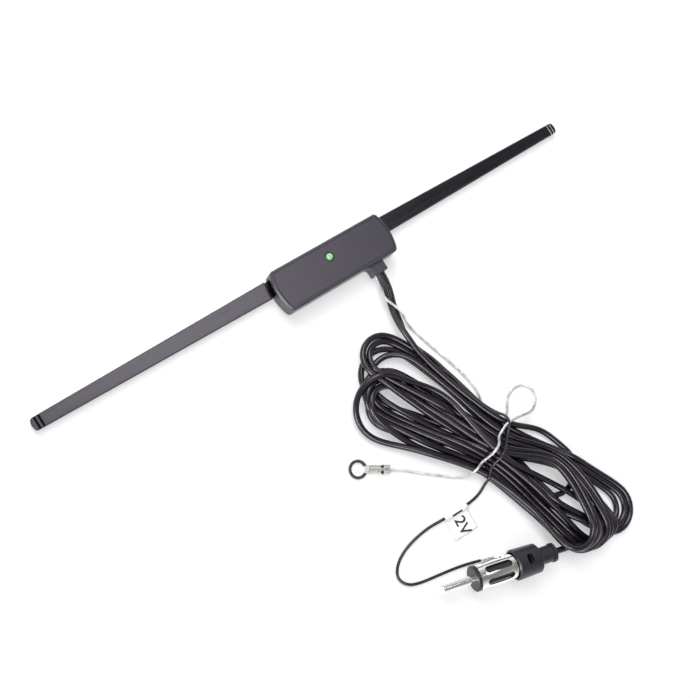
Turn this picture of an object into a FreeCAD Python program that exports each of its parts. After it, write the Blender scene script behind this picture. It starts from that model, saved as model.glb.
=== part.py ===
import FreeCAD, Part
import math
import os

# Car windshield radio antenna, lying on its adhesive back.
# X runs along the two arms, the cable leaves on the -Y side, Z points away from the glass.
# The origin is on the glass, under the centre of the amplifier housing. Millimetres.

V = FreeCAD.Vector

# Adhesive foam
tape_thickness = 0.8
tape_margin = 0.6

# Amplifier housing
housing_length = 51.4
housing_width = 17.4
housing_height = 8.7
end_bow = 1.8
corner_radius = 1.6
least_round = 0.3
wall = 1.2
top_wall = 1.4
top_chamfer = 0.6
reveal_margin = 0.35
reveal_width = 0.35
reveal_depth = 0.35
base_thickness = 1.2
fit_gap = 0.12
post_radius = 1.1
post_inset_x = 9.4
post_inset_y = 2.2

# Cable spout on the housing's front wall
spout_centre_x = 15.5
spout_width = 6.2
spout_reach = 4.3
spout_height = 5.8
spout_flare = 1.6
spout_corner = 0.6
coax_offset = -0.3
cord_spacing = 0.1
cord_height = 3.2
ground_offset = -0.9
ground_height = 0.9

# Arms
arm_span = 256.0
arm_line_y = 3.7
arm_root_width = 7.2
arm_tip_width = 4.9
arm_thickness = 2.2
arm_edge = 0.35
arm_tip_radius = 1.2
arm_tip_bow = 0.8
neck_length = 0.8
neck_inset = 0.35
neck_drop = 0.5
tang_length = 5.0
hook_length = 2.4
hook_reach = 2.2
slot_headroom = 3.2
groove_from_tip = 2.1
groove_spacing = 1.6
groove_width = 0.9
groove_depth = 0.55
groove_count = 2

# Copper element under each arm
element_width = 1.6
element_thickness = 0.3
element_stop = 7.0

# Amplifier board and its components
board_thickness = 1.0
board_gap = 0.3
board_rise = 1.2
board_end_gap = 1.6
led_x = -1.2
led_y = 2.5
led_radius = 1.5
led_hole_gap = 0.4
led_flange_radius = 1.95
led_flange_height = 0.8
led_stand_out = 1.3
led_lead_side = 0.5
led_lead_pitch = 2.54
led_lead_tail = 0.8
chip_length = 2.0
chip_width = 1.25
chip_height = 0.6
chip_pitch = 2.6
chip_count = 4
chip_row_inset = 3.8
chip_row_pitch = 2.4
transistor_size = (2.9, 1.3, 1.0)
transistor_foot = (0.4, 0.6, 0.2)
transistor_spot = (4.6, -1.4)
tantalum_size = (3.5, 2.8, 1.9)
tantalum_edge = 0.3
tantalum_spot = (-9.0, 0.6)
choke_radius = 1.6
choke_height = 2.2
choke_waist = 1.1
choke_flange = 0.5
choke_spot = (10.4, 1.8)

# Cords
coax_diameter = 2.5
power_diameter = 1.2
ground_diameter = 1.0
bore_gap = 0.1
floor_gap = 0.05
bend_share = 0.45
straight_run = 1.5
bare_end_length = 6.0
bare_end_diameter = 0.9
hank_height = 5.3
hank_edge = 1.9
hank_plan_round = 4.0

# Folded label on the supply wire
flag_width = 11.0
flag_reach = 10.0
flag_paper = 0.15
flag_gap = 0.25

# Ring terminal
ring_outer_radius = 3.9
ring_hole_radius = 2.65
ring_thickness = 0.8
ring_to_barrel = 4.6
tongue_width = 3.2
web_width = 3.0
barrel_length = 4.6
crimp_length = 3.0
barrel_gap = 0.7
barrel_wall = 0.4
barrel_width = 3.4
grip_width = 3.8
seam_width = 0.3
mouth_width = 1.4
entry_run = 3.0
ring_centre = (-35.5, -73.3)
ring_tail = (-24.8, -80.2)

# Radio plug, measured along its axis from the tip of the pin
pin_radius = 1.6
pin_length = 33.5
pin_seat_step = 0.5
pin_tip_round = 0.6
disc_start = 13.8
disc_radius = 5.05
disc_thickness = 1.6
disc_edge = 0.3
core_radius = 3.7
core_flange = 1.8
shell_radius = 4.75
shell_wall = 0.5
shell_length = 22.4
shell_swell = 0.3
slot_count = 6
slot_width = 2.8
slot_length = 11.8
slot_start = 2.6
slot_turn_degrees = 32.0
collar_start = 31.8
collar_length = 10.9
collar_front_radius = 6.1
collar_rear_radius = 5.8
collar_lip = 0.8
collar_recess = 2.4
collar_chamfer = 0.5
latch_width = 2.6
latch_length = 3.9
latch_depth = 2.0
latch_from_front = 5.4
latch_turn_degrees = -13.0
sleeve_radius = 3.4
sleeve_length = 7.6
sleeve_rim = 0.4
sleeve_rim_length = 1.2
sleeve_neck_radius = 2.9
sleeve_neck_length = 4.0
sleeve_grip = 1.0
tail_run = 3.4
plug_tip = (-34.9, -128.1)
plug_turn_degrees = -18.0

# Heights that several pieces share
back = tape_thickness
base_top = back + base_thickness
arm_top = back + arm_thickness
neck_top = arm_top - neck_drop
board_low = base_top + board_rise
board_top = board_low + board_thickness
ceiling = housing_height - top_wall
half_width = housing_width / 2
bow_radius = (half_width ** 2 + end_bow ** 2) / (2 * end_bow)
bow_centre = housing_length / 2 + end_bow - bow_radius


def box(x0, x1, y0, y1, z0, z1):
    return Part.makeBox(x1 - x0, y1 - y0, z1 - z0, V(x0, y0, z0))


def prism(points, z0, z1):
    """Straight-sided plate over a plan outline."""
    corners = [V(x, y, z0) for x, y in points]
    face = Part.Face(Part.makePolygon(corners + corners[:1]))
    return face.extrude(V(0, 0, z1 - z0))


def upright_edges(shape):
    return [e for e in shape.Edges if abs(e.tangentAt(e.FirstParameter).z) > 0.999]


def flat_edges(shape, z):
    """Edges that lie wholly in the level plane at height z."""
    return [e for e in shape.Edges if max(abs(e.BoundBox.ZMin - z), abs(e.BoundBox.ZMax - z)) < 1e-6]


def end_x(y, inset=0.0):
    """How far the bowed end of the housing reaches along X at a given y."""
    return bow_centre + math.sqrt((bow_radius - inset) ** 2 - y ** 2)


def bowed_block(inset, z0, z1):
    """The housing's plan, set in by a margin: straight long sides, bowed ends, round corners."""
    side = half_width - inset
    corner = end_x(side, inset)
    tip = end_x(0.0, inset)
    p = [V(-corner, -side, z0), V(corner, -side, z0), V(corner, side, z0), V(-corner, side, z0)]
    edges = [
        Part.makeLine(p[0], p[1]),
        Part.Arc(p[1], V(tip, 0, z0), p[2]).toShape(),
        Part.makeLine(p[2], p[3]),
        Part.Arc(p[3], V(-tip, 0, z0), p[0]).toShape(),
    ]
    block = Part.Face(Part.Wire(edges)).extrude(V(0, 0, z1 - z0))
    return block.makeFillet(max(corner_radius - inset, least_round), upright_edges(block))


def board_posts(radius, z0, z1):
    x = housing_length / 2 - wall - post_inset_x
    y = half_width - wall - post_inset_y
    return [Part.makeCylinder(radius, z1 - z0, V(sx * x, sy * y, z0)) for sx in (-1, 1) for sy in (-1, 1)]


def spout_block():
    """Cable spout, flared into the front wall on its inner side."""
    left = spout_centre_x - spout_width / 2
    right = spout_centre_x + spout_width / 2
    wall_y = -half_width
    tip_y = wall_y - spout_reach
    inside_y = wall_y + wall / 2
    z = back
    flare_mid = spout_flare * (1 - math.sqrt(0.5))
    edges = [
        Part.makeLine(V(left - spout_flare, inside_y, z), V(left - spout_flare, wall_y, z)),
        Part.Arc(V(left - spout_flare, wall_y, z), V(left - flare_mid, wall_y - flare_mid, z),
                 V(left, wall_y - spout_flare, z)).toShape(),
        Part.makeLine(V(left, wall_y - spout_flare, z), V(left, tip_y, z)),
        Part.makeLine(V(left, tip_y, z), V(right, tip_y, z)),
        Part.makeLine(V(right, tip_y, z), V(right, inside_y, z)),
        Part.makeLine(V(right, inside_y, z), V(left - spout_flare, inside_y, z)),
    ]
    block = Part.Face(Part.Wire(edges)).extrude(V(0, 0, spout_height))
    outer = [e for e in upright_edges(block) if abs(e.Vertexes[0].Y - tip_y) < 1e-6]
    return block.makeFillet(spout_corner, outer)


def cord_bore(diameter, x, z):
    """Round way through the spout and the front wall."""
    tip_y = -half_width - spout_reach
    length = spout_reach + wall
    return Part.makeCylinder(diameter / 2 + bore_gap, length, V(x, tip_y, z), V(0, 1, 0))


def arm_slot(side):
    """Slot in the end wall, taller than the arm, open at the back."""
    half = arm_root_width / 2 - neck_inset + fit_gap
    x0 = side * (housing_length / 2 - wall - end_bow)
    x1 = side * (housing_length / 2 + 2 * end_bow)
    top = arm_top + slot_headroom
    return box(min(x0, x1), max(x0, x1), arm_line_y - half, arm_line_y + half, back, top)


def make_cover():
    """Moulded shell with a shadow line round its top face and the cable spout on its front wall."""
    shell = bowed_block(0.0, back, housing_height)
    shell = shell.makeChamfer(top_chamfer, flat_edges(shell, housing_height))
    outer = top_chamfer + reveal_margin
    floor = housing_height - reveal_depth
    island = bowed_block(outer + reveal_width, floor, housing_height)
    shell = shell.cut(bowed_block(outer, floor, housing_height).cut(island))
    shell = shell.fuse(spout_block())
    shell = shell.cut(bowed_block(wall, back, ceiling))
    shell = shell.fuse(board_posts(post_radius, board_top, ceiling))
    led_hole = Part.makeCylinder(led_radius + led_hole_gap, top_wall, V(led_x, led_y, ceiling))
    cuts = [led_hole, arm_slot(-1), arm_slot(1)]
    cuts += [cord_bore(d, x, z) for d, x, z in (coax_exit, power_exit, ground_exit)]
    return shell.cut(cuts).removeSplitter()


def tang_outline(side, gap):
    """Plan of an arm's tang and hook inside the housing, grown by a gap."""
    half = arm_root_width / 2 - neck_inset
    wall_x = end_x(arm_line_y, wall)
    outer = wall_x + end_bow
    inner = wall_x - tang_length
    shoulder = inner + hook_length
    low = arm_line_y - half
    high = arm_line_y + half
    points = [
        (outer, low - gap), (shoulder + gap, low - gap), (shoulder + gap, low - hook_reach - gap),
        (inner - gap, low - hook_reach - gap), (inner - gap, high + gap), (outer, high + gap),
    ]
    return [(side * x, y) for x, y in points]


def make_base():
    """Plate inside the shell that carries the board and traps the arms' hooks."""
    plate = bowed_block(wall + fit_gap, back, base_top)
    plate = plate.cut([prism(tang_outline(side, fit_gap), back, base_top) for side in (-1, 1)])
    return plate.fuse(board_posts(post_radius, base_top, board_low)).removeSplitter()


def arm_start():
    return end_x(arm_line_y) + neck_length


def arm_half_width(x):
    share = (x - arm_start()) / (arm_span / 2 - arm_start())
    return (arm_root_width + (arm_tip_width - arm_root_width) * share) / 2


def strip_outline(margin, start, stop):
    """Plan of the tapering strip, symmetrical about the arm's line."""
    low = arm_half_width(start) - margin
    high = arm_half_width(stop) - margin
    return [
        (start, arm_line_y - low), (stop, arm_line_y - high),
        (stop, arm_line_y + high), (start, arm_line_y + low),
    ]


def element_inner():
    return end_x(arm_line_y, wall) - tang_length + hook_length / 2


def tip_groove(x):
    """Wedge that cuts one V groove across the arm's top."""
    half = groove_width / 2
    side = arm_line_y - arm_root_width
    corners = [V(x - half, side, arm_top), V(x + half, side, arm_top), V(x, side, arm_top - groove_depth)]
    return Part.Face(Part.makePolygon(corners + corners[:1])).extrude(V(0, 2 * arm_root_width, 0))


def make_arm():
    """Tapering strip with a bowed tip, a recessed neck at the housing and a hooked tang inside it."""
    tip = arm_span / 2
    shoulder = tip - arm_tip_bow
    round_tip = min(arm_tip_radius, arm_half_width(tip) - least_round)
    p = strip_outline(0.0, arm_start(), shoulder)
    corners = [V(x, y, back) for x, y in p]
    edges = [
        Part.makeLine(corners[0], corners[1]),
        Part.Arc(corners[1], V(tip, arm_line_y, back), corners[2]).toShape(),
        Part.makeLine(corners[2], corners[3]),
        Part.makeLine(corners[3], corners[0]),
    ]
    strip = Part.Face(Part.Wire(edges)).extrude(V(0, 0, arm_thickness))
    tip_edges = [e for e in upright_edges(strip) if e.Vertexes[0].X > shoulder - 0.01]
    strip = strip.makeFillet(round_tip, tip_edges)
    strip = strip.makeChamfer(arm_edge, flat_edges(strip, arm_top))
    for i in range(groove_count):
        x = tip - groove_from_tip - i * groove_spacing
        strip = strip.cut(tip_groove(x))
    half_neck = arm_root_width / 2 - neck_inset
    neck = box(end_x(arm_line_y, wall), arm_start(), arm_line_y - half_neck, arm_line_y + half_neck,
               back, neck_top)
    tang = prism(tang_outline(1, 0.0), back, neck_top)
    arm = strip.fuse([neck, tang])
    return arm.cut([element_flat(), element_tab(neck_top)]).removeSplitter()


def element_strip(z_top, x_end):
    """Block over the copper strip's width, from its inner end to a given x, up from the back."""
    half = element_width / 2
    return box(element_inner(), x_end, arm_line_y - half, arm_line_y + half, back, z_top)


def element_flat():
    return element_strip(back + element_thickness, arm_span / 2 - element_stop)


def element_tab(z_top):
    return element_strip(z_top, element_inner() + element_thickness)


def make_element():
    """Flat copper strip under the arm, its inner end turned up to the board."""
    return element_flat().fuse(element_tab(board_low)).removeSplitter()


def make_arm_tape():
    start = arm_start()
    stop = arm_span / 2 - arm_tip_radius
    return prism(strip_outline(tape_margin, start, stop), 0.0, tape_thickness)


def mirrored(shape):
    return shape.mirror(V(0, 0, 0), V(1, 0, 0))


def board_half_length():
    return housing_length / 2 - wall - board_end_gap


def board_half_width():
    return half_width - wall - board_gap


def make_board():
    half_y = board_half_width()
    half_x = board_half_length()
    board = box(-half_x, half_x, -half_y, half_y, board_low, board_top)
    holes = [Part.makeCylinder(led_lead_side / 2 * math.sqrt(2), board_thickness, V(x, led_y, board_low))
             for x in led_leads()]
    return board.cut(holes)


def led_leads():
    return (led_x - led_lead_pitch / 2, led_x + led_lead_pitch / 2)


def make_led():
    """Round lamp with a domed lens, standing on the board and just proud of the top face."""
    top = housing_height + led_stand_out
    shoulder = top - led_radius
    lens = Part.makeCylinder(led_radius, shoulder - board_top, V(led_x, led_y, board_top))
    dome = Part.makeSphere(led_radius, V(led_x, led_y, shoulder), V(0, 0, 1), 0, 90)
    flange = Part.makeCylinder(led_flange_radius, led_flange_height, V(led_x, led_y, board_top))
    half = led_lead_side / 2
    leads = [box(x - half, x + half, led_y - half, led_y + half, board_low - led_lead_tail, board_top)
             for x in led_leads()]
    return lens.fuse([dome, flange] + leads).removeSplitter()


def chip_row(x, y):
    """Row of like surface-mounted chips on the board."""
    return Part.makeCompound([
        Part.makeBox(chip_length, chip_width, chip_height, V(x + i * chip_pitch, y, board_top))
        for i in range(chip_count)])


def make_transistor(x, y):
    length, width, height = transistor_size
    foot_length, foot_reach, foot_height = transistor_foot
    body = Part.makeBox(length, width, height, V(x, y, board_top))
    feet = [Part.makeBox(foot_length, foot_reach, foot_height, V(fx, y - foot_reach, board_top))
            for fx in (x, x + length - foot_length)]
    middle = x + (length - foot_length) / 2
    feet.append(Part.makeBox(foot_length, foot_reach, foot_height, V(middle, y + width, board_top)))
    return body.fuse(feet).removeSplitter()


def make_tantalum(x, y):
    length, width, height = tantalum_size
    block = Part.makeBox(length, width, height, V(x, y, board_top))
    return block.makeChamfer(tantalum_edge, flat_edges(block, board_top + height))


def make_choke(x, y):
    """Ferrite drum coil: two flanges and a wound waist."""
    ferrite = Part.makeCylinder(choke_radius, choke_height, V(x, y, board_top))
    winding_height = choke_height - 2 * choke_flange
    low = V(x, y, board_top + choke_flange)
    winding = Part.makeCylinder(choke_radius, winding_height, low)
    return ferrite.cut(winding.cut(Part.makeCylinder(choke_waist, winding_height, low)))


def cord(name, points, diameter):
    """Round cord along straight runs joined by tangent arcs, each as wide as its two runs allow."""
    stops = [V(*p) for p in points]
    edges = []
    radii = []
    start = stops[0]
    for before, corner, after in zip(stops, stops[1:], stops[2:]):
        run_in = corner - before
        run_out = after - corner
        turn = run_in.getAngle(run_out)
        reach = bend_share * min(run_in.Length, run_out.Length)
        radius = reach / math.tan(turn / 2)
        way_in = run_in.normalize()
        way_out = run_out.normalize()
        first = corner - way_in * reach
        last = corner + way_out * reach
        inward = (way_out - way_in).normalize()
        middle = corner + inward * (radius / math.cos(turn / 2) - radius)
        edges.append(Part.makeLine(start, first))
        edges.append(Part.Arc(first, middle, last).toShape())
        radii.append(round(radius / diameter, 1))
        start = last
    edges.append(Part.makeLine(start, stops[-1]))
    path = Part.Wire(edges)
    ring = Part.Wire(Part.makeCircle(diameter / 2, stops[0], stops[1] - stops[0]))
    solid = path.makePipeShell([ring], True, False)
    share = solid.Volume / (path.Length * math.pi * diameter ** 2 / 4)
    print(name, "length", round(path.Length, 1), "volume share", round(share, 3))
    print(name, "radii in diameters", radii)
    return solid


def make_hank():
    """Outer shape of the tied hank: two loose lobes and a gathered waist, in plan arcs."""
    outline = [
        (12.6, -45.2), (5.2, -36.8), (-3.4, -33.8), (-10.6, -36.8), (-13.6, -43.4), (-20.6, -47.8),
        (-25.0, -54.6), (-25.4, -62.2), (-21.6, -70.4), (-13.2, -78.8), (-5.0, -86.4), (2.4, -96.0),
        (9.2, -106.0), (12.6, -117.0), (13.4, -128.6), (17.2, -143.0), (25.2, -151.8), (34.6, -155.6),
        (44.2, -157.2), (53.4, -155.2), (57.0, -148.0), (54.4, -137.0), (46.4, -119.6), (39.6, -106.6),
        (30.6, -92.8), (20.2, -71.0),
    ]
    stops = [V(x, y, 0.0) for x, y in outline]
    closed = stops + stops[:1]
    edges = [Part.Arc(*closed[i:i + 3]).toShape() for i in range(0, len(stops), 2)]
    block = Part.Face(Part.Wire(edges)).extrude(V(0, 0, hank_height))
    block = block.makeFillet(hank_plan_round, upright_edges(block))
    return block.makeFillet(hank_edge, flat_edges(block, hank_height))


def along(origin, direction, distance):
    return (origin[0] + direction[0] * distance, origin[1] + direction[1] * distance)


def barrel_axis():
    """Height of the wire in the terminal's barrels."""
    return ground_diameter / 2 + bore_gap + barrel_wall


def terminal_end():
    return ring_to_barrel + barrel_length + barrel_gap + crimp_length


def along_terminal(start, length, radius, offset=0.0):
    return Part.makeCylinder(radius, length, V(start, offset, barrel_axis()), V(1, 0, 0))


def rolled_ears(start, length, width):
    """A pair of ears rolled down on the wire side by side."""
    radius = barrel_axis()
    return [along_terminal(start, length, radius, side * (width / 2 - radius)) for side in (-1, 1)]


def make_ring_terminal():
    """Stamped ring whose strip ends in two pairs of ears, rolled on the wire with a seam between them."""
    dx = ring_tail[0] - ring_centre[0]
    dy = ring_tail[1] - ring_centre[1]
    grip_start = terminal_end() - crimp_length
    top = 2 * barrel_axis()
    ring = Part.makeCylinder(ring_outer_radius, ring_thickness)
    web = box(0.0, terminal_end(), -web_width / 2, web_width / 2, 0.0, barrel_wall)
    tongue = box(0.0, ring_to_barrel, -tongue_width / 2, tongue_width / 2, 0.0, ring_thickness)
    wire_ears = rolled_ears(ring_to_barrel, barrel_length, barrel_width)
    grip_ears = rolled_ears(grip_start, crimp_length, grip_width)
    body = ring.fuse([tongue, web] + wire_ears + grip_ears)
    hole = Part.makeCylinder(ring_hole_radius, ring_thickness)
    wire_way = along_terminal(ring_to_barrel, terminal_end(), ground_diameter / 2 + bore_gap)
    seam = box(ring_to_barrel, grip_start, -seam_width / 2, seam_width / 2, barrel_axis(), top)
    mouth = prism([(grip_start, -seam_width / 2), (terminal_end(), -mouth_width / 2),
                   (terminal_end(), mouth_width / 2), (grip_start, seam_width / 2)], barrel_axis(), top)
    body = body.cut([hole, wire_way, seam, mouth]).removeSplitter()
    return placed(body, ring_centre, math.degrees(math.atan2(dy, dx)), 0.0)


def placed(shape, spot, turn_degrees, height):
    shape = shape.copy()
    turn = FreeCAD.Rotation(V(0, 0, 1), turn_degrees)
    shape.Placement = FreeCAD.Placement(V(spot[0], spot[1], height), turn)
    return shape


def turned(profile):
    """Solid of revolution about the plug's axis from (distance along, radius) points."""
    points = [V(u, 0, r) for u, r in profile]
    face = Part.Face(Part.makePolygon(points + points[:1]))
    return face.revolve(V(0, 0, 0), V(1, 0, 0), 360)


def on_plug(shape):
    return placed(shape, plug_tip, plug_turn_degrees, collar_front_radius + floor_gap)


def plug_point(distance):
    a = math.radians(plug_turn_degrees)
    x, y = along(plug_tip, (math.cos(a), math.sin(a)), distance)
    return (x, y, collar_front_radius + floor_gap)


def pin_seat_radius():
    return pin_radius - pin_seat_step


def make_plug_pin():
    """Centre contact, round at its tip, stepped down where the insulator holds it."""
    seat = Part.makeCylinder(pin_seat_radius(), pin_length - disc_start, V(disc_start, 0, 0), V(1, 0, 0))
    pin = Part.makeCylinder(pin_radius, disc_start, V(0, 0, 0), V(1, 0, 0))
    tip = [e for e in pin.Edges if abs(e.BoundBox.XMax) < 1e-6]
    return on_plug(pin.makeFillet(pin_tip_round, tip).fuse(seat))


def make_plug_insulator():
    """Front disc and core that hold the pin in the middle of the shell."""
    bore = pin_seat_radius() + floor_gap
    disc_end = disc_start + disc_thickness
    seat = shell_radius - shell_wall - fit_gap
    rear = pin_length
    profile = [
        (disc_start, bore), (disc_start, disc_radius - disc_edge), (disc_start + disc_edge, disc_radius),
        (disc_end, disc_radius),
        (disc_end, seat), (disc_end + core_flange, seat), (disc_end + core_flange, core_radius),
        (rear - core_flange, core_radius), (rear - core_flange, seat), (rear, seat), (rear, bore),
    ]
    return on_plug(turned(profile))


def long_hole(start, stop, width, low, high):
    """Upright cutter with round ends, lying along the plug."""
    half = width / 2
    middle = box(start + half, stop - half, -half, half, low, high)
    ends = [Part.makeCylinder(half, high - low, V(u, 0, low)) for u in (start + half, stop - half)]
    return middle.fuse(ends)


def make_plug_shell():
    """Spring cage: a thin tube swelled between its end rings and slotted into sprung bars."""
    start = disc_start + disc_thickness
    stop = start + shell_length
    first = start + slot_start
    last = first + slot_length
    inner = shell_radius - shell_wall
    ends = ((start, 0.0), (first, 0.0), ((first + last) / 2, shell_swell), (last, 0.0), (stop, 0.0))
    outside = [V(u, 0, shell_radius + swell) for u, swell in ends]
    inside = [V(u, 0, inner + swell) for u, swell in ends]
    edges = [
        Part.makeLine(outside[0], outside[1]), Part.Arc(*outside[1:4]).toShape(),
        Part.makeLine(outside[3], outside[4]), Part.makeLine(outside[4], inside[4]),
        Part.makeLine(inside[4], inside[3]), Part.Arc(*inside[3:0:-1]).toShape(),
        Part.makeLine(inside[1], inside[0]), Part.makeLine(inside[0], outside[0]),
    ]
    tube = Part.Face(Part.Wire(edges)).revolve(V(0, 0, 0), V(1, 0, 0), 360)
    slot = long_hole(first, last, slot_width, 0.0, shell_radius + 2 * shell_swell)
    slots = []
    for i in range(slot_count):
        one = slot.copy()
        one.rotate(V(0, 0, 0), V(1, 0, 0), slot_turn_degrees + 360.0 * i / slot_count)
        slots.append(one)
    return on_plug(tube.cut(slots))


def make_plug_collar():
    """Moulded grip with an open lip at the front and a latch hole in its side, over the shell."""
    front = collar_start
    rear = front + collar_length
    seat = shell_radius + fit_gap
    shoulder = disc_start + disc_thickness + shell_length
    neck = sleeve_neck_radius + fit_gap
    lip = collar_front_radius - collar_lip
    profile = [
        (shoulder, neck), (shoulder, seat), (front + collar_recess, seat), (front + collar_recess, lip),
        (front, lip), (front, collar_front_radius - collar_chamfer),
        (front + collar_chamfer, collar_front_radius), (rear - collar_chamfer, collar_rear_radius),
        (rear, collar_rear_radius - collar_chamfer), (rear, neck),
    ]
    collar = turned(profile)
    latch_hole = long_hole(-latch_length / 2, latch_length / 2, latch_width,
                           collar_front_radius - latch_depth, collar_front_radius + latch_depth)
    latch_hole.rotate(V(0, 0, 0), V(0, 0, 1), 90)
    latch_hole.rotate(V(0, 0, 0), V(1, 0, 0), latch_turn_degrees)
    latch_hole.translate(V(front + latch_from_front, 0, 0))
    return on_plug(collar.cut(latch_hole))


def make_plug_sleeve():
    """Rear sleeve that grips the cable, with a rim at its end and a neck inside the collar."""
    start = collar_start + collar_length
    stop = start + sleeve_length
    bore = coax_diameter / 2 + bore_gap
    profile = [
        (start - sleeve_neck_length, bore), (start - sleeve_neck_length, sleeve_neck_radius),
        (start, sleeve_neck_radius), (start, sleeve_radius), (stop - sleeve_rim_length, sleeve_radius),
        (stop - sleeve_rim_length, sleeve_radius + sleeve_rim), (stop, sleeve_radius + sleeve_rim),
        (stop, bore),
    ]
    return on_plug(turned(profile))


def make_flag(run_start, run_end):
    """Paper label folded round the wire and stuck to itself, lying flat."""
    middle = [(a + b) / 2 for a, b in zip(run_start, run_end)]
    turn = math.degrees(math.atan2(run_end[1] - run_start[1], run_end[0] - run_start[0])) + 180
    inner = power_diameter / 2 + flag_gap
    outer = inner + flag_paper
    roll = Part.makeCylinder(outer, flag_width, V(-flag_width / 2, 0, 0), V(1, 0, 0))
    leaf = box(-flag_width / 2, flag_width / 2, -flag_reach, 0.0, -flag_paper, flag_paper)
    way = Part.makeCylinder(inner, flag_width, V(-flag_width / 2, 0, 0), V(1, 0, 0))
    flag = roll.fuse(leaf).cut(way).removeSplitter()
    return placed(flag, middle, turn, middle[2])


# Where each cord leaves the spout: diameter, x and height
coax_exit = (coax_diameter, spout_centre_x + coax_offset, back + cord_height)
power_step = (coax_diameter + power_diameter) / 2 + cord_spacing
power_exit = (power_diameter, coax_exit[1] + power_step, back + cord_height)
ground_exit = (ground_diameter, spout_centre_x + ground_offset, back + ground_height)
exit_y = -half_width + wall
spout_y = -half_width - spout_reach

# Heights of cords that lie on the floor
coax_rest = coax_diameter / 2 + floor_gap
power_rest = power_diameter / 2 + floor_gap
flag_rest = power_rest + flag_gap + flag_paper
ground_rest = ground_diameter / 2 + floor_gap
wrap_rest = hank_height + ground_diameter / 2 + floor_gap

# Routes, chosen by hand. Ends that enter the hank are trimmed by it.
coax_lead_route = [
    (coax_exit[1], exit_y, coax_exit[2]), (coax_exit[1], spout_y - straight_run, coax_exit[2]),
    (14.2, -20.6, 3.7), (12.6, -26.8, 3.0), (11.4, -33.2, 1.8), (11.9, -39.6, coax_rest),
    (12.9, -46.2, coax_rest), (12.6, -52.0, coax_rest),
]
power_lead_route = [
    (power_exit[1], exit_y, power_exit[2]), (power_exit[1], spout_y - straight_run, power_exit[2]),
    (16.3, -21.2, 3.7), (14.7, -27.2, 2.9), (13.5, -33.6, 1.6), (14.0, -39.4, power_rest),
    (15.0, -45.6, power_rest), (14.6, -51.6, power_rest), (12.4, -56.6, power_rest),
]
ground_lead_route = [
    (ground_exit[1], exit_y, ground_exit[2]), (ground_exit[1], spout_y - straight_run, ground_exit[2]),
    (12.9, -20.6, ground_rest), (13.5, -26.6, ground_rest), (15.0, -33.6, ground_rest),
    (17.6, -42.0, ground_rest), (20.4, -51.0, ground_rest), (23.4, -60.0, ground_rest),
    (25.6, -68.4, ground_rest), (25.9, -76.0, ground_rest), (22.6, -82.4, ground_rest),
]
ground_tail_route = [
    (28.6, -91.0, ground_rest), (32.4, -88.8, ground_rest), (35.2, -83.6, ground_rest),
    (40.6, -81.8, ground_rest), (45.6, -84.8, ground_rest), (45.4, -90.6, ground_rest),
    (40.8, -93.6, 1.6), (34.6, -93.0, 4.6), (28.6, -92.6, wrap_rest), (21.8, -93.6, wrap_rest),
    (14.6, -96.0, wrap_rest), (8.0, -98.4, wrap_rest), (2.0, -99.6, 5.2), (-3.4, -99.0, 2.4),
    (-8.4, -94.8, ground_rest), (-13.0, -89.6, ground_rest), (-18.4, -84.9, ground_rest),
]
power_tail_route = [
    (30.0, -98.4, 2.6), (27.4, -98.8, 4.6), (22.4, -99.2, wrap_rest), (17.0, -100.4, wrap_rest),
    (11.4, -102.6, wrap_rest), (6.4, -105.4, 4.2), (2.0, -108.2, 1.5), (-3.4, -109.4, flag_rest),
    (-11.0, -108.9, flag_rest), (-18.6, -108.2, flag_rest), (-25.0, -107.4, power_rest),
    (-31.4, -107.9, power_rest), (-37.6, -109.2, power_rest), (-42.8, -111.9, power_rest),
    (-45.6, -116.0, power_rest), (-43.4, -120.6, power_rest), (-38.2, -122.8, power_rest),
    (-32.2, -124.2, power_rest), (-25.6, -125.8, power_rest), (-19.2, -127.6, power_rest),
    (-13.0, -130.0, power_rest),
]
sleeve_mouth = collar_start + collar_length + sleeve_length
coax_tail_route = [
    plug_point(sleeve_mouth - sleeve_length - sleeve_grip), plug_point(sleeve_mouth + tail_run),
    (23.6, -146.6, 4.4), (28.4, -147.0, 2.8),
]


def ground_entry():
    """The ground wire's last points, straight into the terminal's barrels."""
    dx = ring_tail[0] - ring_centre[0]
    dy = ring_tail[1] - ring_centre[1]
    length = math.hypot(dx, dy)
    way = (dx / length, dy / length)
    outside = along(ring_centre, way, terminal_end() + entry_run)
    inside = along(ring_centre, way, ring_to_barrel + bore_gap)
    return [outside + (barrel_axis(),), inside + (barrel_axis(),)]


def make_bare_end():
    """Tinned strands at the free end of the supply wire."""
    end = V(*power_tail_route[-1])
    way = (end - V(*power_tail_route[-2])).normalize()
    strand = Part.makeCylinder(bare_end_diameter / 2, bare_end_length, end, way)
    far = end + way * bare_end_length
    tip = [e for e in strand.Edges if (e.CenterOfMass - far).Length < 1e-6]
    return strand.makeFillet(bare_end_diameter / 4, tip)


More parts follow.
